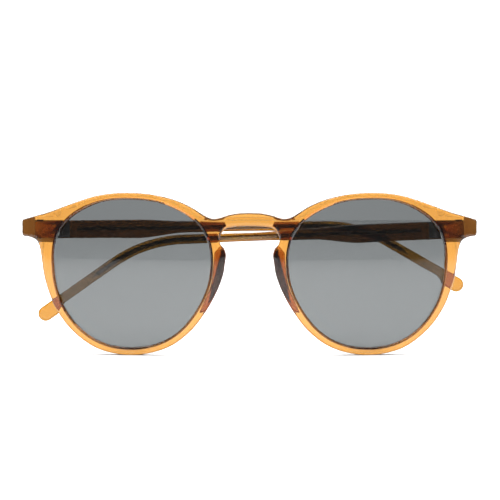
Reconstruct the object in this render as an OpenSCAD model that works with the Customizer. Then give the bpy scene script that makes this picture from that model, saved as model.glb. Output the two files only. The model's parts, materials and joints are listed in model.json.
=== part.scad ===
// Round acetate sunglasses with a keyhole bridge, shown with both temples folded.
// +X is the wearer's left, +Y points from the lenses to the wearer, +Z is up.
// The origin is the middle of the nose bridge's underside. All sizes are in millimetres.

/* [Front] */
// Overall width across the end pieces
front_w = 140; // [134:1:146]
// Thickness of the acetate sheet the rims are cut from
front_t = 4.0; // [3.4:0.1:4.6]
// Radius of the sphere that the front is bent to
front_r = 280; // [240:10:400]
// Width of one lens opening
lens_w = 48.2; // [44:0.2:50]
// Height of one lens opening
lens_h = 45.3; // [42:0.1:48]
// Gap between the two lens openings
bridge_gap = 23.6; // [21:0.2:26]
// Height of the bridge above its underside
bridge_h = 4.1; // [3:0.1:5.5]
// Rim width at the top of a lens
rim_top = 2.1; // [1.8:0.1:3.2]
// Rim width at the bottom of a lens
rim_bottom = 2.3; // [1.9:0.1:3.4]
// Rim width at the temple side of a lens
rim_side = 3.6; // [2.8:0.1:4.4]
// Height of the end piece at its outer face
end_h = 5.4; // [4.6:0.1:6.5]

/* [Nose] */
// Narrowest gap between the nose flanges
nose_w = 14.2; // [12:0.2:17]
// Width of the keyhole under the bridge
keyhole_w = 18.3; // [15:0.1:21]
// How far a nose pad stands behind the rim
pad_depth = 4.2; // [3:0.1:6]
// Angle at which the pads open towards the face
pad_splay = 27; // [15:1:35]

/* [Lenses] */
// Thickness of a lens
lens_t = 2.0; // [1.6:0.1:2.4]
// Depth of the groove that holds a lens
groove_d = 0.7; // [0.4:0.05:1]
// Gap left all round a lens in its groove
lens_clear = 0.05; // [0.02:0.01:0.1]

/* [Temples] */
// Length of a temple along its centreline, from the hinge pin to the end of the tip
temple_l = 136.8; // [130:0.2:142]
// Length of the straight part, from the hinge pin to the ear bend
temple_straight = 85; // [80:0.5:90]
// Radius of the ear bend
bend_r = 40; // [36:1:50]
// How much further back the right temple's ear bend starts
bend_shift = 3; // [0:0.5:4]
// Angle of the left temple's ear bend
bend_left = 33; // [26:0.5:36]
// Angle of the right temple's ear bend
bend_right = 30.5; // [26:0.5:36]
// Thickness of a temple at the hinge
temple_t = 4.0; // [3.6:0.1:4.6]
// Thickness of a temple at the tip
tip_t = 3.0; // [2.6:0.1:3.4]
// Height of a temple at the hinge
temple_h = 5.4; // [4.8:0.1:6]
// Downward slope of the straight part
temple_slope = 0.7; // [0:0.1:2]
// Height of the flat core wire
wire_h = 1.3; // [1:0.1:1.6]
// Thickness of the flat core wire
wire_t = 1.0; // [0.8:0.1:1.3]

/* [Hinges] */
// Outer radius of a hinge knuckle
knuckle_r = 1.4; // [1.2:0.05:1.5]
// Height of one knuckle
knuckle_h = 0.96; // [0.8:0.02:1.0]
// Gap between neighbouring knuckles
knuckle_gap = 0.04; // [0.02:0.01:0.06]
// Radius of the hinge screw's shank
screw_r = 0.65; // [0.5:0.05:0.7]
// Running clearance round the hinge screw
screw_clear = 0.05; // [0.02:0.01:0.08]
// Thickness of a hinge leaf
leaf_t = 0.9; // [0.7:0.05:1]

/* [Folded position] */
// Yaw of the inner, left temple past square, towards the lenses
yaw_left = 1.0; // [0:0.1:1.2]
// Yaw of the outer, right temple short of square, away from the lenses
yaw_right = 3.2; // [3:0.1:5]
// Lean of each hinge pin: the left temple folds low and the right one high
hinge_lean = 1.35; // [1.3:0.05:1.6]
// Angle past square to which the left temple opens
splay_left = 1.3; // [0:0.1:2]
// Angle past square to which the right temple opens
splay_right = 3.7; // [3:0.1:5]

/* [Hidden] */

amber = [0.80, 0.42, 0.12];
lens_grey = [0.30, 0.33, 0.33, 0.8];
steel = [0.75, 0.74, 0.70];

// Lens opening: radii at every 30 degrees from the temple side, going up and over to the nose
shape_radii = [23.9, 25.4, 23.5, 21.85, 22.8, 24.65, 23.5, 22.5, 22.9, 23.0, 23.55, 23.55];
steps = 72;                                    // points round a lens opening
lens_shape = [for (i = [0:steps - 1]) let (a = 360 * i / steps) ring(shape_radii, a) * [cos(a), sin(a)]];
shape_x = [for (p = lens_shape) p[0]];
shape_z = [for (p = lens_shape) p[1]];
lens_x = bridge_gap / 2 + lens_w * (0 - min(shape_x)) / (max(shape_x) - min(shape_x));
lens_z = -14.0;
scale_x = lens_w / (max(shape_x) - min(shape_x));
scale_z = lens_h / (max(shape_z) - min(shape_z));

// The bend of the front: a sphere whose middle surface passes through the origin
ball_y = sqrt(front_r * front_r - lens_z * lens_z);

// End piece, butt and hinge places
butt_gap = 0.1;                                // between a temple's butt and the end piece
end_step = 1.4;                                // how far the end pieces' backs stand behind the bent sheet
butt_y = ball_y - sqrt(pow(front_r - front_t / 2, 2) - pow(front_w / 2, 2)) + end_step;
pin_clear = 0.2;                               // between a knuckle and the acetate beside it
pin_x = front_w / 2 - temple_t - knuckle_r - pin_clear;
pin_z = -1.4;
notch_y = butt_y - knuckle_r - 0.3;            // seat of the front leaf
lug_x = pin_x - 7.4;                           // inner side of the end piece's thick part
lug_z = -5.15;                                 // lower side of the end piece's thick part
end_x = pin_x + knuckle_r + 0.15;              // outside of here the end piece is thick up to its top
end_z = -0.6;                                  // middle of the end piece's outer face
leaf_l = 8.2;
leaf_h = 5 * knuckle_h + 4 * knuckle_gap;
lug_top = pin_z + leaf_h / 2 + 0.45;           // upper side of the end piece's thick part
arm_y = 0.4;                                   // keeps a knuckle's arm off the end piece when open
far = 60;                                      // longer than anything it cuts through

// Temple centreline: a straight, the ear bend and the tip
wire_start = 11;
wire_end = temple_l - 20;

// ---------- curves ----------
// Smooth closed curve through values spaced evenly round a circle
function ring(v, a) = let (n = len(v), t = a / 360 * n, i = floor(t), f = t - i)
  cubic(v[(i + n - 1) % n], v[i % n], v[(i + 1) % n], v[(i + 2) % n], f);
function cubic(a, b, c, d, f) =
  b + 0.5 * f * (c - a + f * (2 * a - 5 * b + 4 * c - d + f * (3 * (b - c) + d - a)));
// Smooth open curve through points, with n pieces between neighbours
function spline(p, n) = [for (i = [0:len(p) - 2], j = [0:n - 1])
  cubic(p[max(i - 1, 0)], p[i], p[i + 1], p[min(i + 2, len(p) - 1)], j / n)];
// Arc of n + 1 points
function arc(c, r, a0, a1, n) = [for (i = [0:n]) let (a = a0 + (a1 - a0) * i / n) c + r * [cos(a), sin(a)]];
// Value of a table of [place, value] rows at l, eased between rows
function ease(f) = f * f * (3 - 2 * f);
function table(t, l, k, i = 0) = i >= len(t) - 1 || l <= t[i + 1][0]
  ? let (f = max(0, min(1, (l - t[i][0]) / (t[min(i + 1, len(t) - 1)][0] - t[i][0]))))
    t[i][k] + ease(f) * (t[min(i + 1, len(t) - 1)][k] - t[i][k])
  : table(t, l, k, i + 1);

// Point of the left lens opening's outline, grown by w along its radius
function rim_point(a, w) = let (r = ring(shape_radii, a))
  [lens_x + (r * scale_x + w) * cos(a), lens_z + (r * scale_z + w) * sin(a)];
function lens_outline(w) = [for (i = [0:steps - 1]) rim_point(360 * i / steps, w)];

// ---------- outline of the front ----------
half_w = front_w / 2;
corner_r = 0.9;
top_edge = spline([
  [0, bridge_h], [3.9, bridge_h - 0.18], [7, bridge_h - 0.85], [9.1, bridge_h - 1.55],
  [11.4, bridge_h - 1.75], [13.9, bridge_h - 0.7],
  rim_point(132, rim_top + 0.75), rim_point(120, rim_top + 0.35),
  rim_point(105, rim_top), rim_point(90, rim_top), rim_point(76, rim_top), rim_point(64, rim_top + 0.25),
  rim_point(55, rim_top + 0.7), [half_w - 13.9, end_z + end_h / 2 + 4.15],
  [half_w - 8.6, end_z + end_h / 2 + 2.2], [half_w - 4, end_z + end_h / 2 + 0.9],
  [half_w - corner_r, end_z + end_h / 2]
], 4);
end_corner = concat(
  arc([half_w - corner_r, end_z + end_h / 2 - corner_r], corner_r, 84, 0, 5),
  arc([half_w - corner_r, end_z - end_h / 2 + corner_r], corner_r, 0, -84, 5)
);
side_edge = spline([
  [half_w - corner_r - 0.5, end_z - end_h / 2 - 0.02], [half_w - 2.9, end_z - end_h / 2 - 0.35],
  [half_w - 4.5, end_z - end_h / 2 - 1.2], [half_w - 5.3, end_z - end_h / 2 - 2.6],
  [half_w - 5.8, end_z - end_h / 2 - 4.6], rim_point(5, rim_side + 0.15),
  rim_point(356, rim_side - 0.25), rim_point(346, rim_side - 0.75), rim_point(334, rim_bottom + 0.3),
  rim_point(318, rim_bottom + 0.1), rim_point(300, rim_bottom + 0.05), rim_point(285, rim_bottom),
  rim_point(270, rim_bottom), rim_point(255, rim_bottom), rim_point(240, rim_bottom + 0.1),
  rim_point(224, rim_bottom + 0.2), rim_point(211, rim_bottom + 0.35), rim_point(200, rim_bottom + 0.65),
  rim_point(190, rim_bottom + 1.15), rim_point(181, rim_bottom + 1.8), [nose_w / 2 + 0.35, -11.6],
  [nose_w / 2, -9.3], [nose_w / 2 + 0.15, -8.0], [nose_w / 2 + 0.7, -6.8],
  [keyhole_w / 2 - 0.35, -5.6], [keyhole_w / 2, -4.2], [keyhole_w / 2 - 0.4, -2.7],
  [keyhole_w / 2 - 1.8, -0.85], [keyhole_w / 2 - 3.8, -0.3], [2.4, -0.03], [0, 0]
], 3);
half_outline = concat(top_edge, end_corner, side_edge, [[0, 0]]);
outline = concat(half_outline,
  [for (i = [len(half_outline) - 2:-1:1]) [-half_outline[i][0], half_outline[i][1]]]);

module flat_solid(points, y0, y1) {
  translate([0, y1, 0]) rotate([90, 0, 0]) linear_extrude(y1 - y0) polygon(points);
}
module ball(r) {
  translate([0, ball_y, lens_z]) sphere(r, $fn = 256);
}
module shell(outer, inner) {
  difference() {
    ball(outer);
    ball(inner);
  }
}
module sides() {
  children();
  mirror([1, 0, 0]) children();
}

// ---------- hinge frame ----------
// Local axes at the left hinge: X from the pin to the outside, Y along the open temple, Z along the pin
module at_hinge(lean) {
  translate([pin_x, butt_y, pin_z]) rotate([0, -lean, 0]) children();
}
// Turns what is drawn along the open temple to its folded place
module folded(yaw) {
  rotate([0, 0, 90 + yaw]) children();
}
module side(left) {
  if (left) children();
  else mirror([1, 0, 0]) children();
}
function lean_of(left) = left ? hinge_lean : -hinge_lean;
function yaw_of(left) = left ? yaw_left : -yaw_right;
function splay_of(left) = left ? splay_left : splay_right;

function knuckle_z(i) = -leaf_h / 2 + i * (knuckle_h + knuckle_gap);

module knuckles(slots) {
  for (i = slots) translate([0, 0, knuckle_z(i)]) cylinder(r = knuckle_r, h = knuckle_h, $fn = 48);
}
module pin_bore() {
  translate([0, 0, -leaf_h]) cylinder(r = screw_r + screw_clear, h = 2 * leaf_h, $fn = 48);
}

// ---------- front ----------
module front_leaf_body() {
  notch = notch_y - butt_y;
  translate([-leaf_l + knuckle_r, notch - leaf_t, -leaf_h / 2]) cube([leaf_l, leaf_t, leaf_h]);
  for (i = [0, 2, 4]) translate([-knuckle_r, notch - leaf_t / 2, knuckle_z(i)])
    cube([2 * knuckle_r, leaf_t / 2 - notch, knuckle_h]);
  for (z = [-1.3, 1.3]) translate([-leaf_l + 3.6, notch - leaf_t + 0.01, z]) rotate([90, 0, 0])
    cylinder(r = 0.7, h = 1.3, $fn = 32);
}

module front_hinge_leaf(left) {
  color(steel) side(left) at_hinge(lean_of(left)) difference() {
    union() {
      front_leaf_body();
      knuckles([0, 2, 4]);
    }
    pin_bore();
  }
}

module front_body() {
  difference() {
    intersection() {
      flat_solid(outline, -10, butt_y);
      ball(front_r + front_t / 2);
    }
    difference() {
      ball(front_r - front_t / 2);
      sides() translate([lug_x, -far, lug_z]) cube([far, 2 * far, lug_top - lug_z]);
      sides() translate([end_x, -far, lug_z]) cube([far, 2 * far, far]);
    }
  }
}

module front_frame() {
  color(amber) difference() {
    front_body();
    sides() flat_solid(lens_outline(0), -far, far);
    sides() intersection() {
      flat_solid(lens_outline(groove_d + lens_clear), -far, far);
      shell(front_r + lens_t / 2 + lens_clear, front_r - lens_t / 2 - lens_clear);
    }
    sides() translate([lug_x - 1, notch_y, -far]) cube([end_x - lug_x + 1, far, 2 * far]);
    for (left = [true, false]) side(left) at_hinge(lean_of(left)) front_leaf_body();
  }
}

module lens(left) {
  color(lens_grey) side(left) intersection() {
    flat_solid(lens_outline(groove_d), -far, far);
    shell(front_r + lens_t / 2, front_r - lens_t / 2);
  }
}

// A pad is a leaf shape behind the nose side of the rim, cut back to face the nose
pad_top = -6.6;
pad_foot = -26.5;
module nose_pad(left) {
  pad_outline = concat(
    spline([[nose_w / 2 + 0.75, pad_top], [nose_w / 2 + 0.1, -8.4], [nose_w / 2 + 0.3, -11.4],
      rim_point(181, rim_bottom + 1.5), rim_point(190, rim_bottom + 0.9), rim_point(200, rim_bottom + 0.45),
      rim_point(210, rim_bottom + 0.25)], 5),
    [rim_point(212, 1.2)],
    spline([rim_point(205, 0.9), rim_point(190, 0.9), rim_point(175, 0.9), rim_point(166, 1.3)], 5),
    [[nose_w / 2 + 2.2, pad_top + 0.1]]
  );
  color(amber) side(left) difference() {
    flat_solid(pad_outline, 0, 3 * pad_depth);
    ball_front();
    // face that rests on the nose
    translate([nose_w / 2 + 0.2, front_t / 2 + 0.6, -9.3]) rotate([0, -12, -pad_splay])
      translate([-20, 0, -30]) cube([20, 20, 60]);
    // rounded-off back
    translate([0, 0, 0]) ball(front_r - front_t / 2 - pad_depth);
    // slopes at the top and foot
    translate([0, front_t / 2 + 1.2, pad_top]) rotate([38, 0, 0]) translate([-20, -5, 0]) cube([60, 30, 20]);
    translate([0, front_t / 2 + 0.8, pad_foot]) rotate([-42, 0, 0]) translate([-20, -5, -20])
      cube([60, 30, 20]);
  }
}
// Everything in front of the rims' back surface
module ball_front() {
  difference() {
    translate([-far, -far, -far]) cube([2 * far, 2 * far, 2 * far]);
    ball(front_r - front_t / 2);
  }
}

module hinge_screw(left) {
  head_h = 0.6;
  head_r = knuckle_r - 0.3;
  color(steel) side(left) at_hinge(lean_of(left)) difference() {
    union() {
      translate([0, 0, -leaf_h / 2 - 0.25]) cylinder(r = screw_r, h = leaf_h + 0.25 + 0.01, $fn = 48);
      translate([0, 0, leaf_h / 2]) cylinder(r = head_r, h = head_h, $fn = 48);
    }
    translate([-2, -0.14, leaf_h / 2 + head_h - 0.3]) cube([4, 0.28, 1]);
  }
}

// ---------- temples ----------
// Length of the straight part and angle of the bend
function shape_of(left) = left ? [temple_straight, bend_left] : [temple_straight + bend_shift, bend_right];
// Point of the ear bend where the centreline has turned down to angle a, as [along, up]
function bend_point(a, shape) = [
  shape[0] * cos(temple_slope) + bend_r * (sin(a) - sin(temple_slope)),
  -shape[0] * sin(temple_slope) - bend_r * (cos(temple_slope) - cos(a))
];
// Centreline at length l from the hinge pin, as [along, up, angle]
function centre(l, shape) =
  let (past = l - shape[0], a = temple_slope + past / bend_r * 180 / PI, e = temple_slope + shape[1])
  past <= 0 ? [l * cos(temple_slope), -l * sin(temple_slope), temple_slope]
  : a <= e ? concat(bend_point(a, shape), [a])
  : let (t = past - bend_r * shape[1] * PI / 180) concat(bend_point(e, shape) + t * [cos(e), -sin(e)], [e]);
// Point at height h above the centreline
function beside(l, h, shape) = let (c = centre(l, shape)) [c[0] + h * sin(c[2]), c[1] + h * cos(c[2])];

// Rows of length from the pin, height above the centreline and depth below it
shank_h = 1.47;                                // half the height of the slim part
tip_drop = 3.1;                                // depth of the tip's paddle below the centreline
heights = [
  [0, temple_h / 2, temple_h / 2 + 0.1], [20, temple_h / 2, temple_h / 2 + 0.2],
  [30, temple_h / 2 - 0.05, temple_h / 2 + 0.4], [45, 2.0, 1.55],
  [62, shank_h - 0.12, shank_h - 0.12], [temple_straight, shank_h, shank_h],
  [temple_l - 9.2, shank_h, shank_h], [temple_l - 5.4, shank_h + 0.05, tip_drop],
  [temple_l, shank_h + 0.05, tip_drop]
];
cap = (shank_h + 0.05 + tip_drop) / 2;         // radius of the tip's round end
function tip_round(shape) = [for (i = [1:11]) let (a = 90 - i * 15)
  beside(temple_l - cap + cap * cos(a), shank_h + 0.05 - cap + cap * sin(a), shape)];
// Lengths at which the temple's outline is stepped: wide steps where it is nearly straight
bent = 52;                                     // the bend, the tip and a little more
stations = concat([for (i = [0:21]) (temple_l - bent) * i / 22],
  [for (i = [0:36]) temple_l - bent + (bent - cap) * i / 36]);
function temple_side(shape) = concat(
  [for (l = stations) beside(l, table(heights, l, 1), shape)],
  tip_round(shape),
  [for (i = [len(stations) - 1:-1:0]) beside(stations[i], -table(heights, stations[i], 2), shape)]
);
inner_x = knuckle_r + pin_clear;               // inner face of a temple, from the pin
temple_reach = max(centre(temple_l, shape_of(true))[0], centre(temple_l, shape_of(false))[0]);
temple_plan = [
  [inner_x, -5], [inner_x + temple_t, -5], [inner_x + temple_t, 12], [inner_x + temple_t - 0.35, 45],
  [inner_x + tip_t, 90], [inner_x + tip_t, temple_reach + 5], [inner_x, temple_reach + 5]
];

module temple_blank(left) {
  intersection() {
    rotate([90, 0, 90]) linear_extrude(20) polygon(temple_side(shape_of(left)));
    translate([0, 0, -45]) linear_extrude(60) polygon(temple_plan);
  }
}

module temple_leaf_body() {
  translate([inner_x, 0.6, -leaf_h / 2]) cube([leaf_t, leaf_l, leaf_h]);
  for (i = [1, 3]) translate([0, arm_y, knuckle_z(i)]) cube([inner_x + 0.4, knuckle_r - arm_y, knuckle_h]);
  for (z = [-1.3, 1.3]) translate([inner_x + leaf_t - 0.01, 5.4, z]) rotate([0, 90, 0])
    cylinder(r = 0.7, h = 1.3, $fn = 32);
}

// Flat core wire along the centreline, with a pointed end
wire_rows = concat([wire_start, temple_straight / 2],
  [for (i = [0:14]) temple_straight + (wire_end - 3 - temple_straight) * i / 14]);
function wire_side(shape) = concat(
  [for (l = wire_rows) beside(l, wire_h / 2, shape)], [beside(wire_end, 0, shape)],
  [for (i = [len(wire_rows) - 1:-1:0]) beside(wire_rows[i], -wire_h / 2, shape)]);
module core_wire_body(left) {
  translate([inner_x + (tip_t - wire_t) / 2, 0, 0]) rotate([90, 0, 90])
    linear_extrude(wire_t) polygon(wire_side(shape_of(left)));
}

module place_temple(left) {
  side(left) at_hinge(lean_of(left)) folded(yaw_of(left)) children();
}

module temple(left) {
  color(amber) place_temple(left) difference() {
    temple_blank(left);
    // butt face, square to the end piece when the temple is fully open
    rotate([0, 0, splay_of(left)]) translate([-10, -20 + butt_gap, -20]) cube([40, 20, 40]);
    temple_leaf_body();
    core_wire_body(left);
  }
}

module temple_hinge_leaf(left) {
  color(steel) place_temple(left) difference() {
    union() {
      temple_leaf_body();
      knuckles([1, 3]);
    }
    pin_bore();
  }
}

module core_wire(left) {
  color(steel) place_temple(left) core_wire_body(left);
}

front_frame();
lens(true);  // lens_left
lens(false);  // lens_right
nose_pad(true);  // nose_pad_left
nose_pad(false);  // nose_pad_right
front_hinge_leaf(true);  // front_hinge_leaf_left
front_hinge_leaf(false);  // front_hinge_leaf_right
hinge_screw(true);  // hinge_screw_left
hinge_screw(false);  // hinge_screw_right
temple_hinge_leaf(true);  // temple_hinge_leaf_left
temple_hinge_leaf(false);  // temple_hinge_leaf_right
temple(true);  // temple_left
temple(false);  // temple_right
core_wire(true);  // core_wire_left
core_wire(false);  // core_wire_right
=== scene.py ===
# %% [markdown]
# # Round amber sunglasses with folded temples
# The CAD model holds every size and place. This script dresses it: the acetate front, the temples and the
# nose pads become polished, rounded pieces, the lenses become curved tinted shells, and the metal inside
# shows through.

# %% Load the frame
import json
import math

import bpy
from mathutils import Matrix, Vector


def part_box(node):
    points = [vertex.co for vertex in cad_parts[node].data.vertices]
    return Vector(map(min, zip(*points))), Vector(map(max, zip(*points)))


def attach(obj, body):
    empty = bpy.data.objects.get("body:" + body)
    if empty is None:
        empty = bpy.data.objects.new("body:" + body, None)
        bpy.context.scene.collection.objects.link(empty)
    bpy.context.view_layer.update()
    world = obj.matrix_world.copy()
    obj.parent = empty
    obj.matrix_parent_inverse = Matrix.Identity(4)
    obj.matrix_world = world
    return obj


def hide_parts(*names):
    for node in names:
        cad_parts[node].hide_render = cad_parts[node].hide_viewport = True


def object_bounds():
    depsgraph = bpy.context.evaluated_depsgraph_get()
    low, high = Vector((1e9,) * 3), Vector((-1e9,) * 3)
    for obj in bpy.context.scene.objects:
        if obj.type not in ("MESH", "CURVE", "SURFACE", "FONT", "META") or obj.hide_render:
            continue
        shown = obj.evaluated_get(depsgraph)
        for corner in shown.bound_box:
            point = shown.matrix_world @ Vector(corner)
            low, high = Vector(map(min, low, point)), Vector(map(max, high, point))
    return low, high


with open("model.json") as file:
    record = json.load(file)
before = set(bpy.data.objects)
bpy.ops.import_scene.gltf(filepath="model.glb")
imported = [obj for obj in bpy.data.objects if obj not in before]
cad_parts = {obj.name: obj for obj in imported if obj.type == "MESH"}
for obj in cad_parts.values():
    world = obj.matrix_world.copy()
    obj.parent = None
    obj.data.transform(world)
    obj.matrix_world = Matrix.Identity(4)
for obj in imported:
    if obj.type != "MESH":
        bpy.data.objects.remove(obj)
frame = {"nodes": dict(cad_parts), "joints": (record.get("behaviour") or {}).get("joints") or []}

cad_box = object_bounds()
print("CAD box", cad_box)

# %% [markdown]
# ## Driving sizes
# The front is cut from one flat acetate sheet and then bent to a sphere, so its pieces are made flat here
# too, and a depth in the sheet becomes a distance from the sphere's centre. These few sizes say where that
# sphere is.

# %% Sizes of the bent sheet
MM = 0.001
front_t = 4.0 * MM
bend_r = 280.0 * MM
eye_z = -14.0 * MM                              # height of the lens centres
ball_y = math.sqrt(bend_r**2 - eye_z**2)        # the sphere's centre, behind the wearer's eyes
pins = {j["child"]: j for j in frame["joints"]}
pin_at = Vector(pins["temple_left"]["pos_m"])
butt_y = pin_at.y                               # back faces of the end pieces
lens_low, lens_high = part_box("lens_left")
lens_mid = Vector(((lens_low.x + lens_high.x) / 2, 0, (lens_low.z + lens_high.z) / 2))
print("hinge pin at", pin_at, "lens middle at", lens_mid)

# %% [markdown]
# ## Small tools
# Every piece is selected, edited, closed and copied many times, so those few steps are functions. A piece
# could be built without them, but each cell would then hold more bookkeeping than making.

# %% Selecting and working
def choose(*objects):
    """Selects just these objects, and makes the first one active."""
    if bpy.context.mode != "OBJECT":
        bpy.ops.object.mode_set(mode="OBJECT")
    bpy.ops.object.select_all(action="DESELECT")
    for o in objects:
        o.select_set(True)
    bpy.context.view_layer.objects.active = objects[0]


def edit(piece, mode="FACE"):
    """Opens a piece for editing, with nothing selected."""
    choose(piece)
    bpy.ops.object.mode_set(mode="EDIT")
    bpy.ops.mesh.select_mode(type=mode)
    bpy.ops.mesh.select_all(action="DESELECT")


def pick(piece, kind, test):
    """Selects the faces, edges or vertices that pass a test, in edit mode."""
    bpy.ops.object.mode_set(mode="OBJECT")
    mesh = piece.data
    for parts in (mesh.vertices, mesh.edges, mesh.polygons):
        parts.foreach_set("select", [False] * len(parts))
    for part in getattr(mesh, kind):
        part.select = test(part)
    bpy.ops.object.mode_set(mode="EDIT")


def apply_modifier(piece, kind, **settings):
    """Adds a modifier, sets it and applies it."""
    choose(piece)
    modifier = piece.modifiers.new(kind.title(), kind)
    for name, value in settings.items():
        setattr(modifier, name, value)
    bpy.ops.object.modifier_apply(modifier=modifier.name)


def close_up(piece, smooth=35):
    """Merges doubles, turns the faces outwards and shades everything but real corners smooth."""
    edit(piece)
    bpy.ops.mesh.select_all(action="SELECT")
    bpy.ops.mesh.remove_doubles(threshold=0.002 * MM)
    bpy.ops.mesh.normals_make_consistent(inside=False)
    bpy.ops.object.mode_set(mode="OBJECT")
    bpy.ops.object.shade_smooth_by_angle(angle=math.radians(smooth))
    print(piece.name, len(piece.data.polygons), "faces")


def cad_copy(cad_name, name):
    """A new piece with a CAD node's shape, its loose triangles merged into one skin."""
    piece = frame["nodes"][cad_name].copy()
    piece.data = piece.data.copy()
    piece.name = piece.data.name = name
    piece.parent = None
    piece.matrix_world = Matrix.Identity(4)
    piece.data.materials.clear()
    bpy.context.scene.collection.objects.link(piece)
    choose(piece)
    if piece.data.has_custom_normals:
        bpy.ops.mesh.customdata_custom_splitnormals_clear()
    edit(piece)
    bpy.ops.mesh.select_all(action="SELECT")
    bpy.ops.mesh.remove_doubles(threshold=0.002 * MM)
    bpy.ops.object.mode_set(mode="OBJECT")
    return piece


# %% [markdown]
# ## Outlines
# A rim's outline is a long smooth curve that the CAD holds as short straight steps. Each step's ends are
# kept, a curve is drawn through them, and real corners stay corners. So the outline stays the CAD's own,
# and only its steps go.

# %% Outlines from the CAD
def edge_loops(mesh, test):
    """Closed loops of points round the faces that pass a test, the longest loop first."""
    used = {}
    for face in mesh.polygons:
        if test(face):
            corners = list(face.vertices)
            for a, b in zip(corners, corners[1:] + corners[:1]):
                used[(a, b)] = True
    after = {a: b for a, b in used if (b, a) not in used}
    loops = []
    while after:
        point = next(iter(after))
        loop = []
        while point in after:
            loop.append(mesh.vertices[point].co.copy())
            point = after.pop(point)
        if len(loop) > 2:
            loops.append(loop)
    return sorted(loops, key=lambda l: -sum((a - b).length for a, b in zip(l, l[1:])))


def drop_near(points, least=0.05 * MM):
    """Leaves out points that are too near the one before."""
    kept = []
    for p in points:
        if not kept or (p - kept[-1]).length > least:
            kept.append(p)
    return kept


def smooth_loop(points, step, corner=40):
    """A curve through a closed loop's points, with a point about every step. Sharp corners stay sharp."""
    points = drop_near(points)
    n = len(points)
    gaps = [(points[(i + 1) % n] - points[i]).length for i in range(n)]

    def slope(i, side):
        before, after = points[i] - points[i - 1], points[(i + 1) % n] - points[i]
        if before.angle(after) > math.radians(corner):
            return (after / gaps[i]) if side else (before / gaps[i - 1])
        h0, h1 = gaps[i - 1], gaps[i]
        return (before / h0 * h1 + after / h1 * h0) / (h0 + h1)

    curve = []
    for i in range(n):
        j = (i + 1) % n
        a, b, h = points[i], points[j], gaps[i]
        m0, m1 = slope(i, True) * h, slope(j, False) * h
        parts = max(1, round(h / step))
        for k in range(parts):
            t = k / parts
            curve.append(a * (2 * t**3 - 3 * t**2 + 1) + m0 * (t**3 - 2 * t**2 + t)
                         + b * (3 * t**2 - 2 * t**3) + m1 * (t**3 - t**2))
    return curve


def outline_mesh(name, loops):
    """Circles whose points are moved on to the loops, joined and filled, as a flat sheet facing -Y."""
    rings = []
    for loop in loops:
        bpy.ops.mesh.primitive_circle_add(vertices=len(loop), radius=MM)
        ring = bpy.context.object
        for vertex, point in zip(ring.data.vertices, loop):
            vertex.co = (point.x, 0, point.z)
        rings.append(ring)
    choose(*rings)
    if len(rings) > 1:
        bpy.ops.object.join()
    sheet = bpy.context.object
    sheet.name = sheet.data.name = name
    edit(sheet)
    bpy.ops.mesh.select_all(action="SELECT")
    bpy.ops.mesh.fill(use_beauty=True)
    bpy.ops.mesh.select_all(action="SELECT")
    bpy.ops.mesh.normals_make_consistent(inside=False)
    bpy.ops.object.mode_set(mode="OBJECT")
    if sum(f.normal.y * f.area for f in sheet.data.polygons) > 0:
        edit(sheet)
        bpy.ops.mesh.select_all(action="SELECT")
        bpy.ops.mesh.flip_normals()
        bpy.ops.object.mode_set(mode="OBJECT")
    return sheet


def cut(place, normal):
    """Cuts all the faces in view along a plane, in edit mode."""
    bpy.ops.mesh.select_all(action="SELECT")
    bpy.ops.mesh.bisect(plane_co=place, plane_no=normal)


# %% [markdown]
# ## Rounded sheets
# Every acetate piece here starts as a flat sheet with a rounded edge. A bevel would follow any chance edge
# that meets the outline and tear there, so the rounding is drawn as rings: the sheet is inset a few times,
# each time a little less deep, as the arc of the rounding asks. Until it is finished, a ring's number is
# kept as a height of so many millimetres. Half of the thickness is made, and a mirror makes the rest.

# %% Half of a rounded sheet
def ring_sheet(name, loops, rounding, rings, cuts):
    """A sheet with rings for a rounded edge, each 1 mm above the last, cut across at the given places."""
    sheet = outline_mesh(name, loops)
    edit(sheet)
    bpy.ops.mesh.select_all(action="SELECT")
    done = 0
    for i in range(1, rings + 1):
        reach = rounding * (1 - math.cos(math.pi / 2 * i / rings))
        bpy.ops.mesh.inset(thickness=reach - done, use_boundary=True, use_even_offset=True)
        bpy.ops.transform.translate(value=(0, -MM, 0))
        done = reach
    bpy.ops.mesh.select_all(action="INVERT")
    bpy.ops.mesh.hide()
    for place, normal in cuts:
        cut(place, normal)
    bpy.ops.mesh.reveal(select=False)
    bpy.ops.object.mode_set(mode="OBJECT")
    return sheet


def settle(sheet, rounding, rings, share=lambda point: 1):
    """Puts the rings at the depths of the arc, times a share that may differ from place to place.

    The attribute "rim" is 1 at the edge and fades over the rings; it carries a painted dark line, painted
    shade, along the polished edge.
    """
    rim = sheet.data.attributes.new("rim", "FLOAT", "POINT")
    for vertex in sheet.data.vertices:
        ring = round(-vertex.co.y / MM)
        rim.data[vertex.index].value = min(1, max(0, 1.3 - ring / 3))
        arc = 1 - math.sin(math.pi / 2 * ring / rings)
        vertex.co.y = rounding * arc * share(vertex.co)


def pick_border(piece, test=lambda point: True):
    """Selects the open edges of a sheet, or those of them that pass a test, in edit mode."""
    faces_at = {}
    for face in piece.data.polygons:
        for key in face.edge_keys:
            faces_at[key] = faces_at.get(key, 0) + 1
    points = piece.data.vertices
    bpy.ops.object.mode_set(mode="EDIT")
    bpy.ops.mesh.select_mode(type="EDGE")
    pick(piece, "edges", lambda e: faces_at.get(e.key) == 1 and test(points[e.vertices[0]].co))


def draw_out(x=0, y=0, z=0):
    """Draws the selected edges out as new faces, in edit mode."""
    bpy.ops.mesh.extrude_edges_move(TRANSFORM_OT_translate={"value": (x, y, z)})


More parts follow.
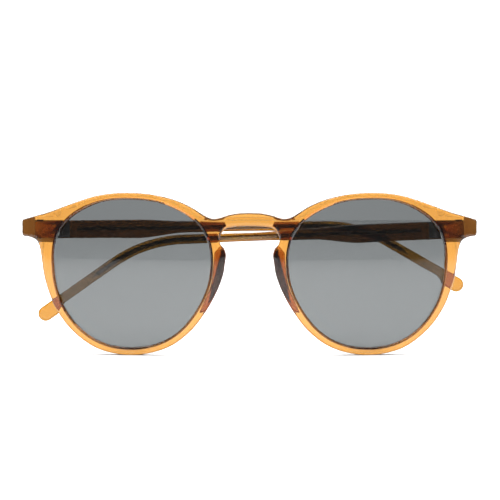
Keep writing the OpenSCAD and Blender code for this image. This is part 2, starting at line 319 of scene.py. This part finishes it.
def mirror_through(piece, depth):
    """Makes the other half of a sheet on the far side of a plane at this depth."""
    bpy.ops.object.mode_set(mode="OBJECT")
    piece.data.transform(Matrix.Translation((0, -depth, 0)))
    apply_modifier(piece, "MIRROR", use_axis=(False, True, False), use_mirror_merge=True,
                   merge_threshold=0.01 * MM)
    piece.data.transform(Matrix.Translation((0, depth, 0)))
    edit(piece)
    bpy.ops.mesh.select_all(action="SELECT")
    bpy.ops.mesh.normals_make_consistent(inside=False)
    bpy.ops.object.mode_set(mode="OBJECT")


# %% [markdown]
# ## The acetate front
# A real front is milled from a 4 mm sheet: outline, lens openings with a groove, then polished edges, and
# last it is bent warm. A box with holes cut by booleans would leave poor edges for such a glassy piece, so
# it is made the maker's way. A lens snaps into its groove with a hair of air round it, and that air draws
# part of the thin dark line round a lens in clear acetate; the rest is a painted dark line, painted shade
# along the opening's edge. So the groove is really there.

# %% Draw the front's outline, and its rounded edges
def depth_y(x, z, depth):
    """Where a point of the flat sheet goes when the sheet is bent: depth is measured from its front face."""
    r = bend_r + front_t / 2 - depth
    return ball_y - math.sqrt(r * r - x * x - (z - eye_z) ** 2)


def on_front(face):
    """Whether a face of a CAD piece lies on the front's outer surface."""
    c = face.center
    return face.normal.y < -0.5 and abs(c.y - depth_y(c.x, c.z, 0)) < 0.05 * MM


def near_opening(point):
    """Whether a point is nearer to a lens opening than to the outline, for points at an edge."""
    away = Vector((abs(point.x) - lens_mid.x, 0, point.z - lens_mid.z))
    angle = math.atan2(away.z, away.x)
    return away.length < opening_reach[round(angle / math.tau * 360) % 360] + 0.9 * MM


front_copy = cad_copy("front_frame", "front_outline")
front_loops = [smooth_loop(loop, 0.6 * MM) for loop in edge_loops(front_copy.data, on_front)[:3]]
bpy.data.objects.remove(front_copy)
left_opening = next(loop for loop in front_loops[1:] if loop[0].x > 0)
spokes = [Vector((p.x - lens_mid.x, 0, p.z - lens_mid.z)) for p in left_opening]
opening_reach = [min(spokes, key=lambda s: abs((math.atan2(s.z, s.x) - math.radians(i) + math.pi) % math.tau
                                               - math.pi)).length for i in range(360)]
edge_round, opening_share, rings = 0.55 * MM, 0.4, 4
front_cuts = ([((2.5 * MM * i, 0, 0), (1, 0, 0)) for i in range(-27, 28)]
              + [((0, 0, 2.5 * MM * i), (0, 0, 1)) for i in range(-15, 4)])
front = ring_sheet("acetate_front", front_loops, edge_round, rings, front_cuts)
settle(front, edge_round, rings, lambda p: opening_share if near_opening(p) else 1)
print("front outline points", [len(loop) for loop in front_loops], "faces", len(front.data.polygons))

# %% [markdown]
# The outer edge goes straight back to the middle of the sheet. The edge of each opening goes back a lip,
# then slants outwards as one side of the V groove. The groove could be a ring cut out afterwards, but drawn
# as part of the wall it keeps the wall's own points, and the mirror makes its other side.

# %% Walls, grooves, and the other half
lens_t, groove_depth, lens_gap = 2.0 * MM, 0.75 * MM, 0.05 * MM
lip = front_t / 2 - lens_t / 2 - lens_gap
apex = 0.2 * MM                                 # half the width of the groove's bottom
opening_radius = sum(opening_reach) / 360
edit(front, "EDGE")
pick_border(front, lambda p: not near_opening(p))
draw_out(y=front_t / 2 - edge_round)
for side in (-1, 1):
    pick_border(front, lambda p: near_opening(p) and p.x * side > 0)
    draw_out(y=lip - edge_round * opening_share)
    draw_out(y=front_t / 2 - lip - apex)
    wider = 1 + groove_depth / opening_radius
    bpy.ops.transform.resize(value=(wider, 1, wider), center_override=(side * lens_mid.x, 0, lens_mid.z))
    draw_out(y=apex)
mirror_through(front, front_t / 2)
print("front, whole:", len(front.data.polygons), "faces")

# %% [markdown]
# An end piece is a thicker block behind the sheet, with a step in it where the hinge leaf is sunk. On a
# real frame it is left standing when the back is milled. Here the sheet is cut along the block's sides and
# its faces are drawn out backwards, so that no seam shows in the clear acetate.

# %% Draw out the end pieces
lug_x = pin_at.x - 7.4 * MM
lug_z = -5.15 * MM
lug_top = pin_at.z + 2.93 * MM
recess_x = pin_at.x + 1.55 * MM
recess_y = butt_y - 1.7 * MM
lug_depth, butt_depth = 8 * MM, 9.7 * MM        # depths in the flat sheet, before it is bent
hair = 0.01 * MM
edit(front)
for x in (-recess_x, -lug_x, lug_x, recess_x):
    cut((x, 0, 0), (1, 0, 0))
for z in (lug_z, lug_top):
    cut((0, 0, z), (0, 0, 1))


def on_back(face, depth, from_x):
    """Whether a face is the back of an end piece, at this depth and outside this x."""
    c = face.center
    to_top = lug_top if abs(c.x) < recess_x else math.inf
    in_place = abs(c.x) > from_x and lug_z < c.z < to_top
    return in_place and c.y > depth - edge_round - hair and face.normal.y > 0.1


pick(front, "polygons", lambda f: on_back(f, front_t, lug_x))
bpy.ops.mesh.extrude_region_move(TRANSFORM_OT_translate={"value": (0, lug_depth - front_t, 0)})
pick(front, "polygons", lambda f: on_back(f, lug_depth, recess_x))
bpy.ops.mesh.extrude_region_move(TRANSFORM_OT_translate={"value": (0, butt_depth - lug_depth, 0)})
bpy.ops.object.mode_set(mode="OBJECT")
print("front with end pieces:", len(front.data.polygons), "faces")

# %% [markdown]
# ## The bend
# A real front is warmed and pressed over a dome, which gives it its curve. The bend comes last here too, so
# that everything above could be done flat. A deform modifier would do it about as well, but it would bend
# the end pieces' backs, and those stay flat for the temples to close on. So each point is moved by a
# formula.

# %% Bend the front
flat_back = lug_depth - 1.5 * MM                # from here on an end piece's back is flat


def bend(point):
    """A point of the flat front in its bent place."""
    x, d, z = point
    if d <= front_t + hair:
        return Vector((x, depth_y(x, z, d), z))
    share = min(1, (d - front_t) / (flat_back - front_t))
    near_sheet = depth_y(x, z, front_t) + d - front_t
    near_back = recess_y + d - lug_depth
    return Vector((x, near_sheet + (near_back - near_sheet) * share, z))


for vertex in front.data.vertices:
    vertex.co = bend(vertex.co)
close_up(front, 40)
apply_modifier(front, "WEIGHTED_NORMAL", keep_sharp=True, weight=60)
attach(front, "front")
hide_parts("front_frame")

# %% [markdown]
# ## The lenses
# A lens is a dish of even thickness with the front's own curve, and its edge is ground to a V that fits the
# groove. It could be a bent disc, but its outline isn't round. So the outline is drawn inwards in rings,
# like the rings of a tree, and every ring is then set on the sphere. The rings give the dish a smooth curve
# all over, which matters for a piece that is seen through.

# %% Two lenses
lens_rings = 10


def lens(side, name, cad_name):
    """A curved lens whose edge sits in the groove."""
    copy = cad_copy(cad_name, name + "_outline")
    loop = smooth_loop(edge_loops(copy.data, lambda f: f.normal.y < -0.5)[0], 0.9 * MM)
    bpy.data.objects.remove(copy)
    bpy.ops.mesh.primitive_circle_add(vertices=len(loop), radius=MM)
    piece = bpy.context.object
    piece.name = piece.data.name = name
    for vertex, point in zip(piece.data.vertices, loop):
        vertex.co = (point.x, lens_t / 2, point.z)
    middle = (side * lens_mid.x, 0, lens_mid.z)
    edit(piece, "EDGE")
    bpy.ops.mesh.select_all(action="SELECT")
    flat_edge = apex - 0.05 * MM
    draw_out(y=-flat_edge)
    draw_out(y=flat_edge - lens_t / 2)
    inner = 1 - groove_depth / opening_radius
    bpy.ops.transform.resize(value=(inner, 1, inner), center_override=middle)
    for i in range(lens_rings, 1, -1):
        draw_out()
        bpy.ops.transform.resize(value=((i - 1) / i, 1, (i - 1) / i), center_override=middle)
    bpy.ops.mesh.edge_face_add()
    bpy.ops.mesh.poke()
    mirror_through(piece, lens_t / 2)
    for vertex in piece.data.vertices:
        x, d, z = vertex.co
        vertex.co = (x, depth_y(x, z, front_t / 2 - lens_t / 2 + d), z)
    close_up(piece, 30)
    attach(piece, "front")
    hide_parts(cad_name)
    return piece


lenses = [lens(1, "tinted_lens_left", "lens_left"), lens(-1, "tinted_lens_right", "lens_right")]

# %% [markdown]
# ## The nose pads
# Each pad is a small acetate wedge that is bonded behind the rim and then filed and polished until no edge
# is left. Its CAD solid has the right faces, so a copy of it is let a little way into the rim, remeshed in
# fine cells and relaxed, which rounds it as a polishing wheel does. A bevel would leave its edges in place
# as narrow bands.

# %% Two nose pads
def nose_pad(name, cad_name):
    """A pad with no edges, and an attribute "rim" that is 1 where its flank faces the nose, for painted
    shade there.
    """
    bond = 0.15 * MM                            # how deep the pad is let into the rim
    piece = cad_copy(cad_name, name)
    for vertex in piece.data.vertices:
        x, y, z = vertex.co
        if abs(y - depth_y(x, z, front_t)) < 0.06 * MM:
            vertex.co.y -= bond
    apply_modifier(piece, "REMESH", mode="VOXEL", voxel_size=0.16 * MM)
    apply_modifier(piece, "SMOOTH", factor=0.5, iterations=9)
    close_up(piece, 80)
    # Painted shade: rim marks the flank that faces the nose, which the shader paints dark.
    rim = piece.data.attributes.new("rim", "FLOAT", "POINT")
    for vertex in piece.data.vertices:
        towards_nose = -math.copysign(vertex.normal.x, vertex.normal.x * vertex.co.x)
        rim.data[vertex.index].value = min(1, max(0, 3 * towards_nose - 1.2))
    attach(piece, "front")
    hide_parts(cad_name)
    return piece


pads = [nose_pad("polished_pad_left", "nose_pad_left"), nose_pad("polished_pad_right", "nose_pad_right")]

# %% [markdown]
# ## The temples
# A temple is sawn from a flat bar: a blade with a belly, a slim shank and a round tip, thinner towards the
# tip. It is worked lying flat beside its hinge, with x along it, z up and y from its inner face outwards.
# Drawn in place, its lean and its folded angle would get into every number. So it is rounded and thinned
# flat, and only then turned to where the folded temple lies, which the CAD's own inner face and hinge pin
# say.

# %% Where a folded temple lies
class TempleFrame:
    """The directions along, up and out of a folded temple, measured on its CAD solid."""

    def __init__(self, body):
        side = 1 if body.endswith("left") else -1
        joint = pins[body]
        self.pin = Vector(joint["pos_m"])
        axis = Vector(joint["axis"]).normalized()
        self.up = axis if axis.z > 0 else -axis
        mesh = frame["nodes"][body].data
        inner = Vector((0, 0, 0))
        for face in mesh.polygons:
            if face.normal.y < -0.99:
                inner += face.normal * face.area
        self.out = -inner.normalized()
        self.along = self.up.cross(self.out) * side
        self.inner_y = min(self.flatten(v.co).y for v in mesh.vertices)

    def flatten(self, point):
        d = point - self.pin
        return Vector((d.dot(self.along), d.dot(self.out), d.dot(self.up)))

    def place(self, point):
        return self.pin + self.along * point.x + self.out * point.y + self.up * point.z


places = {body: TempleFrame(body) for body in ("temple_left", "temple_right")}
for body, place in places.items():
    print(body, "along", place.along, "out", place.out, "inner face at", place.inner_y)


# %% [markdown]
# Rings round the edge of the bar give it its rounding, a mirror gives it its outer half, and the thickness
# at each length is read off the CAD's outer face. The butt end stays square, because it closes against the
# end piece.

# %% Two temples
def temple(body, name):
    """A rounded temple in its folded place."""
    place = places[body]
    copy = cad_copy(body, name + "_outline")
    for vertex in copy.data.vertices:
        vertex.co = place.flatten(vertex.co)
    copy.data.update()
    inner_y = place.inner_y
    loop = edge_loops(copy.data, lambda f: abs(f.center.y - inner_y) < hair and abs(f.normal.y) > 0.9)[0]
    outer = sorted((v.co.x, v.co.y) for v in copy.data.vertices if v.co.y > inner_y + 2.2 * MM)
    butt_slant = min(x for x, y in outer) - min(p.x for p in loop)
    bpy.data.objects.remove(copy)
    butt, end = min(p.x for p in loop), max(p.x for p in loop)
    blade_t, rounding, blade_rings = 4 * MM, 0.55 * MM, 5
    cuts = [((butt + 3 * MM * i, 0, 0), (1, 0, 0)) for i in range(1, int((end - butt) / (3 * MM)))]
    piece = ring_sheet(name, [smooth_loop(loop, 0.8 * MM)], rounding, blade_rings, cuts)
    settle(piece, rounding, blade_rings, lambda p: min(1, 0.15 + (p.x - butt) / rounding))
    pick_border(piece)
    draw_out()
    bpy.ops.transform.resize(value=(1, 0, 1), center_override=(0, blade_t / 2, 0))
    mirror_through(piece, blade_t / 2)

    def thickness(x):
        """The temple's thickness at a length, read off the CAD's outer face."""
        before = [p for p in outer if p[0] <= x] or outer[:1]
        after = [p for p in outer if p[0] >= x] or outer[-1:]
        (x0, y0), (x1, y1) = before[-1], after[0]
        y = y0 if x1 - x0 < hair else y0 + (y1 - y0) * (x - x0) / (x1 - x0)
        return y - inner_y

    # Painted shade: the blade is painted darker towards the hinge, where the folded temple lies in shade
    # behind the grey lens.
    behind_lens_shade = piece.data.attributes.new("behind_lens_shade", "FLOAT", "POINT")
    for vertex in piece.data.vertices:
        x, y, z = vertex.co
        behind_lens_shade.data[vertex.index].value = min(1, max(0, (100 * MM - x) / (50 * MM)))
        slant = butt_slant * (y / blade_t) * max(0, 1 - (x - butt) / (6 * MM))
        y = inner_y + (y / blade_t) * thickness(x)
        vertex.co = place.place(Vector((x + slant, y, z)))
    close_up(piece, 40)
    apply_modifier(piece, "WEIGHTED_NORMAL", keep_sharp=True, weight=60)
    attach(piece, body)
    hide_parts(body)
    return piece


temples = [temple("temple_left", "acetate_temple_left"), temple("temple_right", "acetate_temple_right")]

# %% [markdown]
# ## Metal inside the acetate
# Hinge leaves and core wires are pressed hot into the acetate, so acetate touches them all over. They could
# be modelled afresh, but their CAD solids have the right shape. What they lack is the small rounding that
# every rolled or turned metal piece has, which a bevel adds. The leaves' exposed faces stand a hair proud
# of the acetate, as they do after polishing.

# %% Hinges, screws and wires
def rounded_metal(cad_name, name, body, width, proud=None):
    """A CAD piece with its edges broken, on the same body."""
    piece = cad_copy(cad_name, name)
    if proud:
        proud(piece)
    apply_modifier(piece, "BEVEL", width=width, segments=2, limit_method="ANGLE",
                   angle_limit=math.radians(40), harden_normals=False)
    close_up(piece, 40)
    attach(piece, body)
    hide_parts(cad_name)
    return piece


lift = 0.05 * MM


def lift_front_leaf(piece):
    """Lifts the faces of a front leaf that lie in the recess."""
    for vertex in piece.data.vertices:
        if abs(vertex.co.y - recess_y) < 2 * hair:
            vertex.co.y += lift


def lift_temple_leaf(body):
    """Makes the function that lifts the inner faces of one temple's leaf."""
    place = places[body]

    def move(piece):
        for vertex in piece.data.vertices:
            p = place.flatten(vertex.co)
            if abs(p.y - place.inner_y) < 2 * hair:
                vertex.co -= place.out * lift
    return move


metal, wires = [], []
for side in ("left", "right"):
    body = "temple_" + side
    metal.append(rounded_metal("front_hinge_leaf_" + side, "front_leaf_" + side, "front",
                               0.07 * MM, lift_front_leaf))
    metal.append(rounded_metal("temple_hinge_leaf_" + side, "temple_leaf_" + side, body,
                               0.07 * MM, lift_temple_leaf(body)))
    metal.append(rounded_metal("hinge_screw_" + side, "screw_" + side, "front", 0.05 * MM))
    wires.append(rounded_metal("core_wire_" + side, "core_bar_" + side, body, 0.22 * MM))

# %% [markdown]
# ## Finishes
# Shader maths reads better as sums than as boxes and lines. So one small class holds a socket, and it makes
# the Math node when it is added, subtracted or multiplied.

# %% A socket that can be calculated with
class Value:
    """A shader socket that makes Math nodes when it is used in an expression."""

    def __init__(self, tree, socket):
        self.tree, self.socket = tree, socket

    def _maths(self, operation, a, b):
        return node(self.tree, "ShaderNodeMath", {"operation": operation}, {0: a, 1: b})

    def __add__(self, other):
        return self._maths("ADD", self, other)

    def __radd__(self, other):
        return self._maths("ADD", other, self)

    def __sub__(self, other):
        return self._maths("SUBTRACT", self, other)

    def __rsub__(self, other):
        return self._maths("SUBTRACT", other, self)

    def __mul__(self, other):
        return self._maths("MULTIPLY", self, other)

    def __rmul__(self, other):
        return self._maths("MULTIPLY", other, self)


def node(tree, kind, settings=None, values=None, output=0):
    """Any shader node: its settings are set first, then the values or links of its sockets."""
    made = tree.nodes.new(kind)
    for name, value in (settings or {}).items():
        if name == "stops":
            ramp = made.color_ramp
            for i, (place, colour) in enumerate(value):
                stop = ramp.elements[i] if i < 2 else ramp.elements.new(place)
                stop.position, stop.color = place, (*colour, 1)
        else:
            setattr(made, name, value)
    for name, value in (values or {}).items():
        if isinstance(value, Value):
            tree.links.new(value.socket, made.inputs[name])
        else:
            made.inputs[name].default_value = value
    return Value(tree, made.outputs[output])


def material(name):
    """A new material with an empty tree, and its tree."""
    made = bpy.data.materials.new(name)
    made.use_nodes = True
    made.node_tree.nodes.clear()
    return made, made.node_tree


def finish_with(tree, surface, volume=None):
    """Ends a tree with its surface, and its volume if it has one."""
    out = tree.nodes.new("ShaderNodeOutputMaterial")
    tree.links.new(surface.socket, out.inputs["Surface"])
    if volume:
        tree.links.new(volume.socket, out.inputs["Volume"])


def blend(tree, share, first, second):
    """A colour between two colours."""
    values = {"Factor": share, "A": first, "B": second}
    made = tree.nodes.new("ShaderNodeMix")
    made.data_type = "RGBA"
    for name, value in values.items():
        kind = "NodeSocketFloatFactor" if name == "Factor" else "NodeSocketColor"
        socket = next(s for s in made.inputs if s.name == name and s.bl_idname == kind)
        if isinstance(value, Value):
            tree.links.new(value.socket, socket)
        else:
            socket.default_value = value
    return Value(tree, next(s for s in made.outputs if s.bl_idname == "NodeSocketColor"))


def put_on(made, *pieces):
    """Gives pieces one material."""
    print(made.name, "on", [piece.name for piece in pieces])
    for piece in pieces:
        piece.data.materials.clear()
        piece.data.materials.append(made)


def noise(tree, scale, detail=2, stretch=(1, 1, 1)):
    """Noise on Object coordinates, with its scale in repeats per metre."""
    place = node(tree, "ShaderNodeTexCoord", output="Object")
    place = node(tree, "ShaderNodeMapping", {"vector_type": "POINT"}, {"Vector": place, "Scale": stretch},
                 output="Vector")
    values = {"Vector": place, "Scale": scale, "Detail": detail}
    return node(tree, "ShaderNodeTexNoise", {}, values, output="Fac")


# %% [markdown]
# Acetate is coloured all through, so its amber isn't painted on: light loses blue and green with every
# millimetre that it travels inside. That is why one and the same amber looks honey-yellow in a rim and
# brown where a rim, a hinge block and a temple lie behind one another. A coloured surface could not do
# that, so the colour is in the volume. The surface is polished, with faint wheel marks, and is a rougher
# satin in the saw-cut recess. Shade is painted into its colour as well: painted shade darkens the recess
# and the temple blades towards the hinges, and edges and flanks that turn light back inside are painted
# darker, as painted dark lines.

# %% Amber acetate
def absorption(tree, through, thickness):
    """A clear volume that lets this share of red, green and blue through a wall of this thickness."""
    loss = [-math.log(share) / thickness for share in through]
    density = 1.15 * max(loss)
    colour = [1 - amount / density for amount in loss]
    return node(tree, "ShaderNodeVolumeAbsorption", {}, {"Color": (*colour, 1), "Density": density})


clear_tint, cloudy_tint = (1.0, 0.98, 0.84), (0.98, 0.93, 0.74)
# The next three tints are painted shade: the first darkens the temple blades towards the hinges, the second
# the saw-cut recess, the third the lines along polished edges.
blade_shade_tint, recess_shade_tint, edge_shade_tint = (0.42, 0.36, 0.32, 1), (0.08, 0.085, 0.11, 1), (0.16, 0.10, 0.06, 1)
# This brown is painted shade for the pads' flanks that face the nose.
flank_shade_brown = (0.075, 0.033, 0.011, 1)
through_amber, through_dark_amber = (0.45, 0.22, 0.054), (0.25, 0.088, 0.004)


def acetate(name, through, satin_and_shade_from=1, shaded_flanks=False):
    """Tinted acetate, polished in front of a depth and saw-cut behind it, with painted shade towards the
    hinges, behind that depth and along its edges.
    """
    made, tree = material(name)
    cloud = noise(tree, 60, 3)
    marks = noise(tree, 900, 4, (1, 1, 6))
    tint = node(tree, "ShaderNodeValToRGB", {"stops": [(0.3, clear_tint), (0.7, cloudy_tint)]},
                {"Fac": cloud}, "Color")
    relief = node(tree, "ShaderNodeBump", {}, {"Strength": 0.02, "Distance": 0.02 * MM, "Height": marks})
    place = node(tree, "ShaderNodeTexCoord", output="Object")
    depth = node(tree, "ShaderNodeSeparateXYZ", {}, {"Vector": place}, output="Y")
    # Behind this depth the acetate is a rougher satin and is also painted dark, as painted shade in the
    # saw-cut recess.
    satin_and_shade = node(tree, "ShaderNodeMath", {"operation": "GREATER_THAN"}, {0: depth, 1: satin_and_shade_from})
    # Painted shade on the temple blades, darker towards the hinges, where they lie in shade behind the
    # lenses.
    behind_lens_shade = node(tree, "ShaderNodeAttribute", {"attribute_name": "behind_lens_shade", "attribute_type": "GEOMETRY"},
                output="Fac")
    tint = blend(tree, behind_lens_shade, tint, blade_shade_tint)
    tint = blend(tree, satin_and_shade, tint, recess_shade_tint)
    # Painted shade: the rim attribute paints a dark line along each polished edge and on the pads' flanks.
    rim = node(tree, "ShaderNodeAttribute", {"attribute_name": "rim", "attribute_type": "GEOMETRY"},
               output="Fac")
    tint = blend(tree, rim, tint, edge_shade_tint)
    surface = node(tree, "ShaderNodeBsdfPrincipled", {}, {
        "Base Color": tint, "Roughness": 0.02 + marks * 0.03 + satin_and_shade * 0.3, "Normal": relief,
        "Transmission Weight": 1.0, "IOR": 1.49})
    # Painted shade: the flanks are mixed towards an opaque dark brown where the rim attribute is high.
    if shaded_flanks:
        flank = node(tree, "ShaderNodeBsdfPrincipled", {}, {
            "Base Color": flank_shade_brown, "Roughness": 0.6, "Specular IOR Level": 0.0})
        surface = node(tree, "ShaderNodeMixShader", {}, {"Fac": rim * 0.97, 1: surface, 2: flank})
    finish_with(tree, surface, absorption(tree, through, front_t))
    return made


# The front's saw-cut recess behind the hinge leaves gets painted shade as well as a rougher finish.
put_on(acetate("amber_acetate", through_amber, recess_y - 0.05 * MM), front)
# The pads get painted shade on their flanks.
put_on(acetate("amber_pad_acetate", through_amber, shaded_flanks=True), *pads)
put_on(acetate("dark_amber_acetate", through_dark_amber), *temples)

# %% [markdown]
# A sun lens is dyed all through. It is a neutral grey that lets about a ninth of the light through, so what
# lies behind it is dark, and its polished face shows soft reflections. Grey on the surface would tint the
# reflections as well, so the grey is in the volume.

# %% Grey lens
def tinted_lens(name, through):
    """A polished lens that lets these shares of red, green and blue through."""
    made, tree = material(name)
    haze = noise(tree, 240, 2)
    surface = node(tree, "ShaderNodeBsdfPrincipled", {}, {
        "Base Color": (1, 1, 1, 1), "Roughness": haze * 0.01, "Transmission Weight": 1.0, "IOR": 1.5})
    finish_with(tree, surface, absorption(tree, through, lens_t))
    return made


put_on(tinted_lens("grey_lens", (0.108, 0.115, 0.117)), *lenses)

# %% [markdown]
# Hinges are nickel-silver, tumbled to a satin. The core wire is a drawn bar, a little warmer, with drawing
# lines that run along it. One plain grey metal would do for both, but tumbling leaves an even grain and
# drawing leaves lines, so the two share a function and differ in how its noise is stretched.

# %% Metals
def satin_metal(name, light, dark, rough, relief_strength, stretch):
    """A metal in soft patches of two colours, its grain drawn out along X when the X of stretch is small."""
    made, tree = material(name)
    grain = noise(tree, 2500, 3, stretch)
    patches = noise(tree, 500, 2)
    colour = node(tree, "ShaderNodeValToRGB", {"stops": [(0.3, dark), (0.7, light)]}, {"Fac": patches})
    relief = node(tree, "ShaderNodeBump", {},
                  {"Strength": relief_strength, "Distance": 0.02 * MM, "Height": grain})
    surface = node(tree, "ShaderNodeBsdfPrincipled", {}, {
        "Base Color": colour, "Roughness": rough + grain * 0.15, "Metallic": 1.0, "Normal": relief})
    finish_with(tree, surface)
    return made


put_on(satin_metal("hinge_metal", (0.60, 0.58, 0.55), (0.45, 0.43, 0.40), 0.22, 0.15, (1, 1, 1)), *metal)
put_on(satin_metal("core_metal", (0.62, 0.57, 0.46), (0.50, 0.45, 0.34), 0.2, 0.03, (0.1, 1, 1)), *wires)

# %% [markdown]
# ## Floor, light and camera
# Clear pieces show whatever is behind them, so the surroundings matter as much as the finishes. A curved
# sweep would do for a solid object. Here a flat pale floor runs far back, and beyond its edge the sky is
# bright, so that amber and lens are lit through from behind.

# %% Floor
bpy.ops.mesh.primitive_plane_add(size=4, location=(0, 0, cad_box[0].z - 0.02 * MM))
floor = bpy.context.object
floor.name = "pale_floor"
made, tree = material("pale_floor")
speckle = noise(tree, 400, 2)
tone = node(tree, "ShaderNodeValToRGB", {"stops": [(0.3, (0.84, 0.84, 0.84)), (0.7, (0.87, 0.87, 0.87))]},
            {"Fac": speckle})
finish_with(tree, node(tree, "ShaderNodeBsdfPrincipled", {}, {"Base Color": tone, "Roughness": 0.6}))
put_on(made, floor)

# %% [markdown]
# The sky is dim in front and bright behind, as in a white room with its lamps over and behind the table. A
# sky of one brightness would light the glasses from the front and make the amber flat. The one lamp is
# large and overhead, so shadows stay soft.

# %% Light
scene = bpy.context.scene
scene.view_settings.view_transform = "Standard"
scene.world = bpy.data.worlds.new("studio")
scene.world.use_nodes = True
tree = scene.world.node_tree
tree.nodes.clear()
sky_direction = node(tree, "ShaderNodeTexCoord", output="Generated")
toward = node(tree, "ShaderNodeSeparateXYZ", {}, {"Vector": sky_direction}, output="Y")
strength = node(tree, "ShaderNodeMapRange", {"interpolation_type": "SMOOTHSTEP"},
                {"Value": toward, "From Min": 0.35, "From Max": 0.92, "To Min": 0.22, "To Max": 2.1})
sky = node(tree, "ShaderNodeBackground", {}, {"Color": (1, 1, 1, 1), "Strength": strength})
tree.links.new(sky.socket, tree.nodes.new("ShaderNodeOutputWorld").inputs["Surface"])
bpy.ops.object.light_add(type="AREA", location=(0, 0.3, 1.6))
overhead = bpy.context.object
overhead.data.size = 2.6
overhead.data.energy = 125

# %% [markdown]
# A long lens from a little above keeps the round lenses round.

# %% Camera
distance, tilt = 0.638, math.radians(2.0)
aim = Vector((0.15 * MM, 3.5 * MM, -7.44 * MM))
bpy.ops.object.camera_add(location=aim + Vector((0, -distance * math.cos(tilt), distance * math.sin(tilt))))
camera = bpy.context.object
camera.data.lens = 150
camera.data.clip_start = 0.01
camera.data.clip_end = 50
camera.rotation_euler = (aim - camera.location).to_track_quat("-Z", "Y").to_euler()
scene.camera = camera
